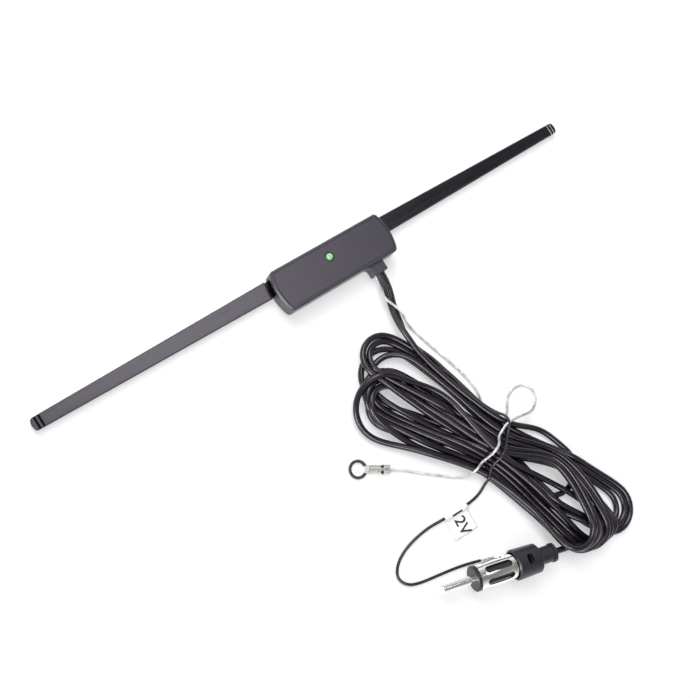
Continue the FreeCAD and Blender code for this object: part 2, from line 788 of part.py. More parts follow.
def make_antenna():
    hank = make_hank()
    arm = make_arm()
    element = make_element()
    arm_tape = make_arm_tape()
    row_x = -board_half_length() + chip_length
    row_y = -board_half_width() + chip_row_inset
    nodes = {
        "housing_cover": make_cover(),
        "housing_base": make_base(),
        "housing_tape": bowed_block(tape_margin, 0.0, tape_thickness),
        "circuit_board": make_board(),
        "power_led": make_led(),
        "transistor": make_transistor(*transistor_spot),
        "tantalum_capacitor": make_tantalum(*tantalum_spot),
        "ceramic_capacitors": chip_row(row_x, row_y),
        "resistors": chip_row(row_x, row_y + chip_row_pitch),
        "rf_choke": make_choke(*choke_spot),
        "right_arm": arm,
        "left_arm": mirrored(arm),
        "right_element": element,
        "left_element": mirrored(element),
        "right_arm_tape": arm_tape,
        "left_arm_tape": mirrored(arm_tape),
        "cable_hank": hank,
        "coax_lead": cord("coax_lead", coax_lead_route, coax_diameter).cut(hank),
        "coax_tail": cord("coax_tail", coax_tail_route, coax_diameter).cut(hank),
        "power_lead": cord("power_lead", power_lead_route, power_diameter).cut(hank),
        "power_tail": cord("power_tail", power_tail_route, power_diameter).cut(hank),
        "power_wire_end": make_bare_end(),
        "wire_flag": make_flag(power_tail_route[7], power_tail_route[9]),
        "ground_lead": cord("ground_lead", ground_lead_route, ground_diameter).cut(hank),
        "ground_tail": cord("ground_tail", ground_tail_route + ground_entry(), ground_diameter).cut(hank),
        "ring_terminal": make_ring_terminal(),
        "plug_pin": make_plug_pin(),
        "plug_insulator": make_plug_insulator(),
        "plug_shell": make_plug_shell(),
        "plug_collar": make_plug_collar(),
        "plug_sleeve": make_plug_sleeve(),
    }
    return nodes


os.makedirs("parts", exist_ok=True)
for node, shape in make_antenna().items():
    shape.exportStep("parts/" + node + ".step")
    print(node, "solids", len(shape.Solids), "valid", shape.isValid(), "volume", round(shape.Volume, 1))
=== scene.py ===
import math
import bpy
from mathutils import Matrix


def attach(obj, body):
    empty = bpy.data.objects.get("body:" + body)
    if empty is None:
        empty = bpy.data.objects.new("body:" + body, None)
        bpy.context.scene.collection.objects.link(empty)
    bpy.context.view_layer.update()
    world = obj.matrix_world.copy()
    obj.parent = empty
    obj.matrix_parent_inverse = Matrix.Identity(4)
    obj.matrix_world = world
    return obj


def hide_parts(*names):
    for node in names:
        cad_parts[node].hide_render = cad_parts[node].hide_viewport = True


bl_info = {
    "name": "Windshield Antenna",
    "version": (1, 0, 0),
    "blender": (4, 5, 0),
    "location": "View3D > Sidebar > Antenna",
    "description": "Dresses a stick-on car radio antenna with its tied cable, wires and radio plug",
    "category": "Add Mesh",
}

import bmesh
import bpy
import numpy as np
from bpy.props import FloatProperty, FloatVectorProperty, IntProperty, PointerProperty
from mathutils import Matrix, Vector

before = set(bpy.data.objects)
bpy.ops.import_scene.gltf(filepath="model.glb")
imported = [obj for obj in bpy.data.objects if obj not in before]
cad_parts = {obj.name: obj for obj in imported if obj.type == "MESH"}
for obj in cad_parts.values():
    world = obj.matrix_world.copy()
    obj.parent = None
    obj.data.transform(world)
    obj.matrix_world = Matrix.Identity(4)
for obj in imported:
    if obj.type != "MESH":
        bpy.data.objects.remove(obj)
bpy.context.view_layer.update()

# The antenna lies on its adhesive back, arms along X, cable towards -Y, in metres.
# Routes and loops below are in millimetres, as the drawing gives them.
MM = 0.001
BODY = "root"


def linear(hex_colour):
    """Turns an sRGB hex colour into linear RGBA."""
    channels = [int(hex_colour[i:i + 2], 16) / 255 for i in (0, 2, 4)]
    return tuple(c / 12.92 if c <= 0.04045 else ((c + 0.055) / 1.055) ** 2.4 for c in channels) + (1.0,)


def length_size(name, description, default):
    """Length that can be set, in metres."""
    return FloatProperty(name=name, description=description, default=default, min=0.0, unit="LENGTH")


def paint(name, description, hex_colour):
    """Colour that can be set."""
    return FloatVectorProperty(name=name, description=description, default=linear(hex_colour), size=4,
                               min=0.0, max=1.0, subtype="COLOR")


class AntennaSizes(bpy.types.PropertyGroup):
    coax_diameter: length_size("Coax diameter", "Outside of the aerial cable's jacket", 0.0025)
    coax_length: length_size("Coax length", "Aerial cable from the board to the plug", 2.78)
    supply_diameter: length_size("Supply wire diameter", "Outside of the supply wire's jacket", 0.0012)
    supply_length: length_size("Supply wire length", "Supply wire from the spout to its bare end", 0.21)
    ground_diameter: length_size("Ground wire diameter", "Outside of the twisted ground wire", 0.00115)
    ground_length: length_size("Ground wire length", "Ground wire from the spout to the ring terminal",
                               0.214)
    strand_count: IntProperty(name="Strands", description="Strands round the ground wire", default=6, min=3)
    twist_pitch: length_size("Twist pitch", "Length of one turn of the strands", 0.0052)
    settle_rounds: IntProperty(name="Settling rounds", description="Rounds that push the turns apart",
                               default=500, min=1)


class AntennaColours(bpy.types.PropertyGroup):
    housing: paint("Housing", "Spark-finished ABS of the amplifier housing", "35333b")
    arm: paint("Arms", "Moulded polystyrene of the arms", "0d0b10")
    cable: paint("Cable jacket", "Black PVC of the aerial cable", "18141b")
    wire: paint("Wire jacket", "Black PVC of the supply wire", "18151a")
    plug: paint("Plug grip", "Moulded nylon of the radio plug", "1d1b20")
    tin: paint("Tinned copper", "Strands of the ground wire", "f6f5f2")
    nickel: paint("Nickel plate", "Sprung shell and pin of the plug", "fbfaf8")
    brass: paint("Tinned brass", "Stamped ring terminal", "d6d3cf")
    paper: paint("Label paper", "Folded label on the supply wire", "fbfaf7")
    lamp: paint("Lamp", "Green epoxy of the power lamp", "a6e8b4")


def sizes():
    return bpy.context.scene.antenna_sizes


def colours():
    return bpy.context.scene.antenna_colours


def add(tree, kind, inputs=None, **settings):
    """Adds a node with its settings, input values and links."""
    made = tree.nodes.new(kind)
    for key, value in settings.items():
        setattr(made, key, value)
    for key, value in (inputs or {}).items():
        if isinstance(value, bpy.types.NodeSocket):
            tree.links.new(value, made.inputs[key])
        else:
            made.inputs[key].default_value = value
    return made


def new_material(name, **principled):
    """Empty material with a Principled shader and Object coordinates."""
    material = bpy.data.materials.new(name)
    material.use_nodes = True
    tree = material.node_tree
    shader = tree.nodes["Principled BSDF"]
    for key, value in principled.items():
        shader.inputs[key.replace("_", " ").title().replace("Ior", "IOR")].default_value = value
    place = add(tree, "ShaderNodeTexCoord").outputs["Object"]
    return material, tree, shader, place


def per_metre(millimetres):
    """Texture scale that gives features of this size."""
    return 1.0 / (millimetres * MM)


def shade(colour, factor):
    """Darker or lighter tone of a colour."""
    return tuple(c * factor for c in colour[:3]) + (1.0,)


# Noise lies mostly between these two values
NOISE_LOW = 0.3
NOISE_HIGH = 0.7


def noise(tree, place, size_mm, detail):
    """Noise with features of a real size."""
    inputs = {"Vector": place, "Scale": per_metre(size_mm), "Detail": detail}
    return add(tree, "ShaderNodeTexNoise", inputs).outputs["Fac"]


def mottle(tree, place, size_mm, low, high, socket):
    """Noise between two colours, wired to a colour socket."""
    ramp = add(tree, "ShaderNodeValToRGB", {"Fac": noise(tree, place, size_mm, 3.0)})
    ramp.color_ramp.elements[0].position = NOISE_LOW
    ramp.color_ramp.elements[1].position = NOISE_HIGH
    ramp.color_ramp.elements[0].color = low
    ramp.color_ramp.elements[1].color = high
    tree.links.new(ramp.outputs["Color"], socket)


def vary(tree, place, size_mm, low, high, shader):
    """Roughness that goes between two values with noise."""
    span = add(tree, "ShaderNodeMapRange", {"Value": noise(tree, place, size_mm, 2.0),
                                            "From Min": NOISE_LOW, "From Max": NOISE_HIGH,
                                            "To Min": low, "To Max": high})
    tree.links.new(span.outputs["Result"], shader.inputs["Roughness"])


def roughen(tree, place, size_mm, height_mm, shader):
    """Bump from noise with features and height of real size."""
    bump = add(tree, "ShaderNodeBump", {"Height": noise(tree, place, size_mm, 3.0),
                                        "Distance": height_mm * MM, "Strength": 1.0})
    tree.links.new(bump.outputs["Normal"], shader.inputs["Normal"])


def stretched(tree, place, turn, squeeze):
    """Coordinates turned about Z and squeezed along their own X, for grain that runs one way."""
    return add(tree, "ShaderNodeMapping", {"Vector": place, "Rotation": (0.0, 0.0, turn),
                                           "Scale": (squeeze, 1.0, 1.0)}).outputs["Vector"]


def fade(tree, value, start_mm, end_mm):
    """Goes from 0 to 1 between two distances."""
    return add(tree, "ShaderNodeMapRange", {"Value": value, "From Min": start_mm * MM,
                                            "From Max": end_mm * MM}).outputs["Result"]


def both(tree, one, two, operation="MULTIPLY"):
    """Product of two values, or another operation on them."""
    return add(tree, "ShaderNodeMath", {0: one, 1: two}, operation=operation).outputs[0]


def magnitude(tree, value):
    """Value without its sign."""
    return add(tree, "ShaderNodeMath", {0: value}, operation="ABSOLUTE").outputs[0]


def from_spot(tree, place, spot):
    """Flat coordinates from a spot in millimetres, and the distance from it."""
    centre = (-spot[0] * MM, -spot[1] * MM, 0.0)
    flat = add(tree, "ShaderNodeMapping", {"Vector": place, "Scale": (1.0, 1.0, 0.0),
                                           "Location": centre}).outputs["Vector"]
    away = add(tree, "ShaderNodeVectorMath", {0: flat}, operation="LENGTH").outputs["Value"]
    return flat, away


def lengthwise(tree, place, turn):
    """Distances along and across a line that is turned about Z."""
    turned = stretched(tree, place, turn, 1.0)
    return add(tree, "ShaderNodeSeparateXYZ", {"Vector": turned}).outputs


# Carbon pigment makes the shine of dark plastics a little violet
COOL_SHEEN = (0.95, 0.88, 1.0, 1.0)
# Colour sockets of a mix node
MIX_FIRST = 6
MIX_SECOND = 7
MIX_RESULT = 2


def dark_plastic(name, roughness, ior):
    """Empty material for a plastic with carbon pigment."""
    return new_material(name, roughness=roughness, ior=ior, specular_tint=COOL_SHEEN)


def spark_abs():
    """ABS moulded in a spark-eroded tool: a fine even grain that breaks up highlights."""
    colour = colours().housing
    material, tree, shader, place = dark_plastic("spark_abs", roughness=0.38, ior=1.54)
    mottle(tree, place, 9.0, shade(colour, 0.93), shade(colour, 1.07), shader.inputs["Base Color"])
    vary(tree, place, 1.6, 0.34, 0.42, shader)
    # Real grit is about 0.03 mm, drawn at 0.35 mm so that it shows
    roughen(tree, place, 0.35, 0.012, shader)
    return material


def satin_polystyrene():
    """Polystyrene from a polished tool: smooth, with faint flow streaks along the arm."""
    colour = colours().arm
    material, tree, shader, place = dark_plastic("satin_polystyrene", roughness=0.24, ior=1.59)
    along = stretched(tree, place, 0.0, 0.04)
    mottle(tree, along, 1.2, shade(colour, 0.9), shade(colour, 1.1), shader.inputs["Base Color"])
    vary(tree, along, 0.8, 0.2, 0.28, shader)
    roughen(tree, along, 0.6, 0.01, shader)
    return material


def cable_pvc():
    """Extruded PVC jacket: smooth and shiny, a little uneven in tone."""
    colour = colours().cable
    material, tree, shader, place = dark_plastic("cable_pvc", roughness=0.26, ior=1.53)
    mottle(tree, place, 9.0, shade(colour, 0.92), shade(colour, 1.1), shader.inputs["Base Color"])
    vary(tree, place, 14.0, 0.23, 0.28, shader)
    return material


def wire_pvc():
    """Thin jacket of hook-up wire, black with a softer shine than the cable."""
    colour = colours().wire
    material, tree, shader, place = dark_plastic("wire_pvc", roughness=0.3, ior=1.53)
    mottle(tree, place, 2.0, shade(colour, 0.8), shade(colour, 1.25), shader.inputs["Base Color"])
    vary(tree, place, 1.4, 0.26, 0.36, shader)
    return material


def moulded_nylon():
    """Black nylon of the plug, injection moulded with a soft sheen and faint flow marks."""
    colour = colours().plug
    material, tree, shader, place = dark_plastic("moulded_nylon", roughness=0.38, ior=1.53)
    mottle(tree, place, 4.0, shade(colour, 0.88), shade(colour, 1.15), shader.inputs["Base Color"])
    vary(tree, place, 1.2, 0.33, 0.44, shader)
    roughen(tree, place, 0.4, 0.01, shader)
    return material


def tinned_copper():
    """Hot-tinned copper strands: pale metal under a thin milky skin of oxide."""
    colour = colours().tin
    material, tree, shader, place = new_material("tinned_copper", metallic=0.6, roughness=0.45)
    mottle(tree, place, 4.0, shade(colour, 0.48), shade(colour, 1.0), shader.inputs["Base Color"])
    vary(tree, place, 0.7, 0.38, 0.55, shader)
    return material


# Radio plug: the way it lies, and between which distances along it the shell goes under the collar, where
# it is painted near-black as shade
PLUG_TURN = math.radians(18.0)
COVERED_TAIL = (38.4, 38.8)


def nickel_plate():
    """Bright nickel on turned brass, with faint drawing lines; painted near-black as shade where it goes
    under the collar.
    """
    colour = colours().nickel
    material, tree, shader, place = new_material("nickel_plate", metallic=1.0, roughness=0.14)
    grain = stretched(tree, place, PLUG_TURN, 0.08)
    shaded_under_collar = fade(tree, lengthwise(tree, place, PLUG_TURN)["X"], *COVERED_TAIL)
    # Near-black painted shade on the shell where it goes under the collar
    tone_with_shade = add(tree, "ShaderNodeMix", {"Factor": shaded_under_collar, MIX_SECOND: linear("1c191b")}, data_type="RGBA")
    mottle(tree, grain, 0.9, shade(colour, 0.86), shade(colour, 1.0), tone_with_shade.inputs[MIX_FIRST])
    tree.links.new(tone_with_shade.outputs[MIX_RESULT], shader.inputs["Base Color"])
    vary(tree, grain, 0.5, 0.09, 0.2, shader)
    return material


# Ring terminal: where its ring and the neck between its barrels lie, and the distances between which its
# colour changes; the flat ring is painted dark grey and the neck is painted dark as shade
RING_CENTRE = (-35.5, -73.3)
RING_EDGE = (3.6, 4.0)
TERMINAL_TURN = math.radians(32.85)
TONGUE_START = (2.1, 2.6)
TONGUE_SIDE = (1.5, 1.2)
NECK_PLACE = 9.55
NECK_HALF = (0.75, 0.5)
NECK_SIDE = (0.5, 0.8)


def tinned_brass():
    """Stamped tinned brass: the flat ring is painted dark grey, the neck between the barrels is painted
    dark as shade, and the barrels and tongue keep the bright tin.
    """
    material, tree, shader, place = new_material("tinned_brass", metallic=1.0, roughness=0.28)
    flat, away = from_spot(tree, place, RING_CENTRE)
    way = lengthwise(tree, flat, TERMINAL_TURN)
    aside = magnitude(tree, way["Y"])
    tongue = both(tree, fade(tree, way["X"], *TONGUE_START), fade(tree, aside, *TONGUE_SIDE))
    # The neck between the barrels is painted dark as the shade that falls in it
    from_neck = magnitude(tree, both(tree, way["X"], NECK_PLACE * MM, "SUBTRACT"))
    neck = both(tree, fade(tree, from_neck, *NECK_HALF), fade(tree, aside, *NECK_SIDE))
    # shine is 1 where the bright tin shows and 0 on the dark grey ring and the painted shade of the neck
    shine = both(tree, fade(tree, away, *RING_EDGE), tongue, "MAXIMUM")
    shine = both(tree, shine, neck, "SUBTRACT")
    tone_with_shade = add(tree, "ShaderNodeMix", {"Factor": shine}, data_type="RGBA")
    # Dark greys for the flat ring and for the painted shade in the neck
    mottle(tree, place, 1.6, linear("3a383a"), linear("504e50"), tone_with_shade.inputs[MIX_FIRST])
    mottle(tree, place, 0.9, shade(colours().brass, 0.92), colours().brass, tone_with_shade.inputs[MIX_SECOND])
    tree.links.new(tone_with_shade.outputs[MIX_RESULT], shader.inputs["Base Color"])
    vary(tree, place, 0.9, 0.24, 0.36, shader)
    return material


def label_paper():
    """Uncoated label paper with short fibres, given a painted glow (emission) so that it shows whiter than
    its light alone makes it.
    """
    colour = colours().paper
    # The emission strength is a painted glow that lifts the paper towards the white of the floor
    material, tree, shader, place = new_material("label_paper", roughness=0.82, ior=1.5,
                                                 emission_strength=0.12)
    mottle(tree, place, 0.5, shade(colour, 0.95), shade(colour, 1.0), shader.inputs["Base Color"])
    roughen(tree, place, 0.25, 0.02, shader)
    return material


def printing_ink():
    """Black ink, thinner where it sank into the paper."""
    material, tree, shader, place = new_material("printing_ink", roughness=0.6)
    mottle(tree, place, 0.4, linear("17161a"), linear("36343a"), shader.inputs["Base Color"])
    return material


# Power lamp: its middle, the distances between which its dome ends and the painted shade of its foot
# begins, how clear the dome is, and the strength of its painted glow
LAMP_CENTRE = (-1.2, 2.5)
LAMP_DOME = (1.52, 1.42)
LAMP_CLEAR = 0.35
LAMP_PAINTED_GLOW = 0.3


def lamp_epoxy():
    """Dyed clear epoxy of a lamp: the dome has a painted glow that stands for room light scattered in it;
    its foot is painted near-black as the shade in its hole.
    """
    colour = colours().lamp
    material, tree, shader, place = new_material("lamp_epoxy", roughness=0.12, ior=1.52)
    _, away = from_spot(tree, place, LAMP_CENTRE)
    dome = fade(tree, away, *LAMP_DOME)
    # Outside the dome the foot is painted near-black green as the shade in the housing's hole
    tint_with_shade = add(tree, "ShaderNodeMix", {"Factor": dome, MIX_FIRST: linear("0c1510")}, data_type="RGBA")
    mottle(tree, place, 1.2, shade(colour, 0.75), colour, tint_with_shade.inputs[MIX_SECOND])
    tree.links.new(tint_with_shade.outputs[MIX_RESULT], shader.inputs["Base Color"])
    tree.links.new(both(tree, dome, LAMP_CLEAR), shader.inputs["Transmission Weight"])
    # Painted glow of the dome, standing in for room light scattered in the epoxy
    tree.links.new(both(tree, dome, LAMP_PAINTED_GLOW), shader.inputs["Emission Strength"])
    shader.inputs["Emission Color"].default_value = linear("a4eeb4")
    return material


def foam_tape():
    """Closed-cell foam tape, grey with fine pores."""
    material, tree, shader, place = new_material("foam_tape", roughness=0.85)
    mottle(tree, place, 0.6, linear("2c2b2e"), linear("454448"), shader.inputs["Base Color"])
    roughen(tree, place, 0.5, 0.08, shader)
    return material


def board_laminate():
    """Glass-epoxy laminate under green solder mask, with the weave showing faintly."""
    material, tree, shader, place = new_material("board_laminate", roughness=0.35, ior=1.55)
    weave = add(tree, "ShaderNodeTexChecker", {"Vector": place, "Scale": per_metre(0.5),
                                               "Color1": linear("1d5c33"), "Color2": linear("226a3b")})
    tree.links.new(weave.outputs["Color"], shader.inputs["Base Color"])
    roughen(tree, place, 0.5, 0.01, shader)
    return material


def drawn_copper():
    """Rolled copper strip with long rolling lines."""
    material, tree, shader, place = new_material("drawn_copper", metallic=1.0, roughness=0.3)
    along = stretched(tree, place, 0.0, 0.05)
    mottle(tree, along, 0.6, linear("a8643c"), linear("c98256"), shader.inputs["Base Color"])
    return material


def component_body(name, low, high, roughness):
    """Small moulded or fired component body with a slightly mottled skin."""
    material, tree, shader, place = new_material(name, roughness=roughness)
    mottle(tree, place, 0.5, linear(low), linear(high), shader.inputs["Base Color"])
    return material


def dress(material, slot, *nodes):
    """Gives CAD nodes a finish."""
    for name in nodes:
        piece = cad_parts[name]
        piece.data.materials.clear()
        piece.data.materials.append(material)


# The tied cable. A loop's numbers are: reach from the tie, middle across, half width,
# and how far its upper and lower runs bulge sideways on their way to the tie.
TIE = (18.0, -97.0)
HANK_AXIS = (0.508, -0.861)
HANK_ACROSS = (0.861, 0.508)
RIGHT_LOOPS = [
    (37.5, 3.6, 10.8, 2.8, -1.0),
    (67.0, 0.5, 10.0, 1.0, -4.2),
    (64.3, 0.0, 8.6, 0.6, -4.2),
    (60.8, -1.0, 7.8, 0.6, -4.2),
    (59.8, -7.6, 8.0, 8.2, 0.5),
    (58.8, -9.0, 7.8, 6.4, 0.5),
    (57.2, -10.8, 8.2, 7.7, 0.5),
    (55.4, -12.2, 8.6, 8.4, 0.5),
    (53.4, -13.4, 9.0, 9.0, 1.2),
    (51.2, -14.2, 9.2, 9.6, 2.2),
]
LEFT_LOOPS = [
    (-66.0, 10.0, 8.8, 2.6, 0.0),
    (-64.0, 9.6, 7.8, 2.0, 0.4),
    (-63.4, 5.2, 11.0, 1.2, 0.0),
    (-56.0, -5.8, 8.2, 0.0, -1.0),
    (-58.6, 4.8, 10.6, 0.8, 0.0),
    (-59.0, -1.0, 7.8, 0.4, 0.0),
    (-59.0, -2.6, 8.6, 0.4, 0.0),
    (-57.8, -4.4, 8.0, 0.2, -1.0),
    (-56.8, -5.8, 7.8, 0.0, -2.2),
    (-60.8, -8.0, 12.6, 6.0, 1.2),
]
# Layer of each loop: at the left the first two were folded over last, under the wide one;
# at the right the last two cross over the run into the plug
RIGHT_LAYERS = [0, 1, 2, 3, 4, 5, 6, 7, 20, 22]
LEFT_LAYERS = [9.0, 8.6, 0.5, 3.5, 1.5, 5.0, 5.6, 6.2, 6.8, 11.0]
# Loop that leads out to the plug, and how many of its stations the cable follows
LAST_LOOP = (56.6, -11.0, 8.2, 0.6, 0.0)
LAST_STATIONS = 6
# Where the upper and the lower run of each turn pass the tie
UPPER_SLOTS = [10.8, 9.4, 8.0, 6.6, -2.6, 5.2, 3.4, 1.8, 0.2, -1.4, -3.0]
LOWER_SLOTS = [-3.2, 2.0, 0.4, -1.2, -2.6, -4.6, -6.4, -8.4, -10.4, -12.2]
# The way in from the lead and the way out to the plug
LEAD_STATIONS = [(-46.6, 19.4), (-40.0, 17.2), (-33.2, 15.4), (-19.0, 12.4)]
PLUG_STATIONS = [(46.0, -21.6), (41.4, -24.7)]
# Layers of those two ways, of the loop out to the plug, and of the last and the first run at the tie;
# every other run lies RUN_LAYER under or over its turn's number
OUTER_LAYER = 14.0
LAST_LAYER = 3.5
LAST_RUN_LAYER = 10.5
FIRST_RUN_LAYER = 5.0
RUN_LAYER = 0.25
# How far out of the tie a run bulges most, as a share of the way to its bend
BELLY = 0.6
# A run that bulges wider than this comes into its bend from the side
WIDE_BULGE = 6.2
SIDE_STATIONS = 2
END_ANGLES = (90, 60, 30, 0, -30, -60, -90)
TURN_STEP = 2.0
LAYER_RISE = 0.2
FLOOR_GAP = 0.05
# The tie gathers the turns to this half width, this far to both sides
TIE_REACH = 5.0
TIE_HALF_WIDTH = 12.3
# Settling: turns nearer than NEAR_REACH diameters are watched and listed anew every few rounds. They
# push each other apart, and where they cross the upper one is lifted over the lower one.
NEAR_REACH = 1.6
NEAR_SKIP = 5
LIST_EVERY = 20
PUSH_GAIN = 1.6
CROSS_LIFT = 1.2
SINK = 0.012
PULL_BACK = 0.998
SIDE_WEIGHT = 0.25
MIDDLE_WEIGHT = 0.5
HELD_START = 3
HELD_END = 5
TINY = 1e-6

COAX_LEAD = [
    (15.2, -7.5, 4.0), (15.2, -14.5, 4.0), (14.0, -20.6, 3.9), (11.8, -26.8, 3.6), (10.6, -33.2, 3.8),
    (10.4, -39.6, 4.8),
]
PLUG_REAR = [(16.17, -144.69, 6.15), (4.76, -140.99, 6.15)]
# One in so many points of the settled turns shapes the cable
CONTROL_EVERY = 2
# Fineness of the cords along and round them, and of lines that are read from them
COAX_STEPS = 3
COAX_SIDES = 5
SUPPLY_STEPS = 5
SUPPLY_SIDES = 4
TWIST_STEPS = 6
READ_STEPS = 4


def loop_stations(loop, before, after):
    """Stations of one loop's end, from its upper belly round to its lower belly."""
    reach, middle, half, upper, lower = loop
    depth = math.copysign(half, reach)
    shoulder = reach - depth
    bend = [(shoulder + depth * math.cos(math.radians(a)), middle + half * math.sin(math.radians(a)))
            for a in END_ANGLES]
    if upper > WIDE_BULGE:
        bend = bend[SIDE_STATIONS:]
    belly = BELLY * shoulder
    first = (belly, before + BELLY * (middle + half - before) + upper)
    last = (belly, after + BELLY * (middle - half - after) + lower)
    return [first] + bend + [last]


def hank_stations():
    """Every station of the tied cable in order: along, across and the layer that it lies in."""
    turns = len(LEFT_LOOPS)
    stations = [(u, v, OUTER_LAYER) for u, v in LEAD_STATIONS]
    for k in range(turns):
        layer = FIRST_RUN_LAYER if k == 0 else k - RUN_LAYER
        stations.append((0.0, UPPER_SLOTS[k], layer))
        right = loop_stations(RIGHT_LOOPS[k], UPPER_SLOTS[k], LOWER_SLOTS[k])
        stations += [(u, v, RIGHT_LAYERS[k]) for u, v in right]
        stations.append((0.0, LOWER_SLOTS[k], k + RUN_LAYER))
        left = loop_stations(LEFT_LOOPS[k], UPPER_SLOTS[k + 1], LOWER_SLOTS[k])
        stations += [(u, v, LEFT_LAYERS[k]) for u, v in reversed(left)]
    stations.append((0.0, UPPER_SLOTS[turns], LAST_RUN_LAYER))
    last = loop_stations(LAST_LOOP, UPPER_SLOTS[turns], 0.0)[:LAST_STATIONS]
    stations += [(u, v, LAST_LAYER) for u, v in last]
    stations += [(u, v, OUTER_LAYER) for u, v in PLUG_STATIONS]
    return np.array(stations)


def glide(stations):
    """Smooth line through the stations of the turns, stepped evenly."""
    chord = np.linalg.norm(np.diff(stations[:, :2], axis=0), axis=1)
    t = np.concatenate([[0.0], np.cumsum(np.sqrt(chord))])
    slope = np.gradient(stations, t, axis=0, edge_order=1)
    line = []
    for i, run in enumerate(chord):
        s = np.linspace(0.0, 1.0, max(2, round(run)), endpoint=False)[:, None]
        h = t[i + 1] - t[i]
        line.append((2 * s ** 3 - 3 * s ** 2 + 1) * stations[i] + (s ** 3 - 2 * s ** 2 + s) * h * slope[i]
                    + (3 * s ** 2 - 2 * s ** 3) * stations[i + 1] + (s ** 3 - s ** 2) * h * slope[i + 1])
    line = np.concatenate(line + [stations[-1:]])
    way = np.concatenate([[0.0], np.cumsum(np.linalg.norm(np.diff(line[:, :2], axis=0), axis=1))])
    steps = np.linspace(0.0, way[-1], int(way[-1] / TURN_STEP) + 1)
    return np.column_stack([np.interp(steps, way, column) for column in line.T])


def close_pairs(line, reach, skip):
    """Index pairs of points that are near in space and apart along the cable."""
    gaps = ((line[:, None] - line[None]) ** 2).sum(axis=2)
    return np.nonzero(np.triu(gaps < reach ** 2, skip))


def settle(start, diameter, rounds):
    """Lets the turns push each other apart, sink to the floor and stay gathered at the tie."""
    rest = diameter / 2 + FLOOR_GAP
    line = start.copy()
    for turn in range(rounds):
        if turn % LIST_EVERY == 0:
            first, second = close_pairs(line, NEAR_REACH * diameter, NEAR_SKIP)
            lift = CROSS_LIFT * np.sign(start[second, 2] - start[first, 2])
        between = line[second] - line[first]
        apart = np.maximum(np.linalg.norm(between, axis=1), TINY)
        aim = between + np.outer(lift, (0.0, 0.0, 1.0))
        aim /= np.maximum(np.linalg.norm(aim, axis=1), TINY)[:, None]
        push = 0.5 * np.maximum(diameter - apart, 0.0)[:, None] * aim
        hit = apart < diameter
        move = np.zeros_like(line)
        count = np.ones(len(line))
        np.add.at(move, first[hit], -push[hit])
        np.add.at(move, second[hit], push[hit])
        np.add.at(count, np.concatenate([first[hit], second[hit]]), 1.0)
        shift = line + PUSH_GAIN * move / count[:, None] - start
        shift[:, 2] -= SINK
        shift[:, :2] *= PULL_BACK
        for part in (shift[:, :2], shift[:, :2], shift):
            part[1:-1] = SIDE_WEIGHT * part[:-2] + MIDDLE_WEIGHT * part[1:-1] + SIDE_WEIGHT * part[2:]
        shift[:HELD_START] = 0.0
        shift[-HELD_END:] = 0.0
        line = start + shift
        line[:, 2] = np.maximum(line[:, 2], rest)
        tied = np.abs(line[:, 0]) < TIE_REACH
        line[tied, 1] = np.clip(line[tied, 1], -TIE_HALF_WIDTH, TIE_HALF_WIDTH)
    return line


def on_floor(along, across):
    """Place on the floor of a point in the hank's own directions."""
    x = TIE[0] + along * HANK_AXIS[0] + across * HANK_ACROSS[0]
    y = TIE[1] + along * HANK_AXIS[1] + across * HANK_ACROSS[1]
    return x, y


def hank_line():
    """The tied turns in the part's frame, in millimetres."""
    diameter = sizes().coax_diameter / MM
    line = glide(hank_stations())
    start = line.copy()
    start[:, 2] = diameter / 2 + FLOOR_GAP + LAYER_RISE * np.maximum(line[:, 2], 0.0)
    line = settle(start, diameter, sizes().settle_rounds)
    x, y = on_floor(line[:, 0], line[:, 1])
    return np.column_stack([x, y, line[:, 2]])


def placed(name, data):
    """New object in the scene."""
    made = bpy.data.objects.new(name, data)
    bpy.context.scene.collection.objects.link(made)
    return made


def baked(piece):
    """Mesh of a piece as its modifiers leave it; the piece itself goes."""
    mesh = bpy.data.meshes.new_from_object(piece.evaluated_get(bpy.context.evaluated_depsgraph_get()))
    bpy.data.objects.remove(piece)
    return mesh


def to_mesh(name, bm):
    """Mesh of edited geometry, which is then let go."""
    mesh = bpy.data.meshes.new(name)
    bm.to_mesh(mesh)
    bm.free()
    return mesh


def cord_curve(name, points, diameter, steps, sides):
    """Round cord on one NURBS spline through millimetre control points."""
    data = bpy.data.curves.new(name, "CURVE")
    data.dimensions = "3D"
    data.resolution_u = steps
    data.bevel_depth = diameter / 2
    data.bevel_resolution = sides
    data.use_fill_caps = True
    spline = data.splines.new("NURBS")
    spline.points.add(len(points) - 1)
    for knot, place in zip(spline.points, points):
        knot.co = (place[0] * MM, place[1] * MM, place[2] * MM, 1.0)
    spline.order_u = 3
    spline.use_endpoint_u = True
    return placed(name, data)


def read_line(points, steps):
    """Points of the smooth line that a NURBS spline makes of a route, in metres."""
    bare = cord_curve("bare_line", points, 0.0, steps, 0)
    bare.data.use_fill_caps = False
    mesh = baked(bare)
    line = [tuple(v.co) for v in mesh.vertices]
    bpy.data.meshes.remove(mesh)
    return line


def seated(piece, slot, *nodes):
    """A finished piece rides on the antenna and stands for its CAD nodes."""
    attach(piece, BODY)
    if nodes:
        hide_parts(*nodes)


class ANTENNA_OT_coax(bpy.types.Operator):
    """Aerial cable: lead, tied hank and the run into the plug"""
    bl_idname = "antenna.coax"
    bl_label = "Aerial cable"

    def execute(self, context):
        size = sizes()
        hank = hank_line()
        route = COAX_LEAD + [tuple(p) for p in hank[:-1:CONTROL_EVERY]] + PLUG_REAR
        cable = cord_curve("coax_cable", route, size.coax_diameter, COAX_STEPS, COAX_SIDES)
        cable.data.materials.append(cable_pvc())
        seated(cable, "cable_jacket", "coax_lead", "cable_hank", "coax_tail")
        return {"FINISHED"}


# A wire round the hank bridges the gaps between turns within this distance
WRAP_SPREAD = 1.0


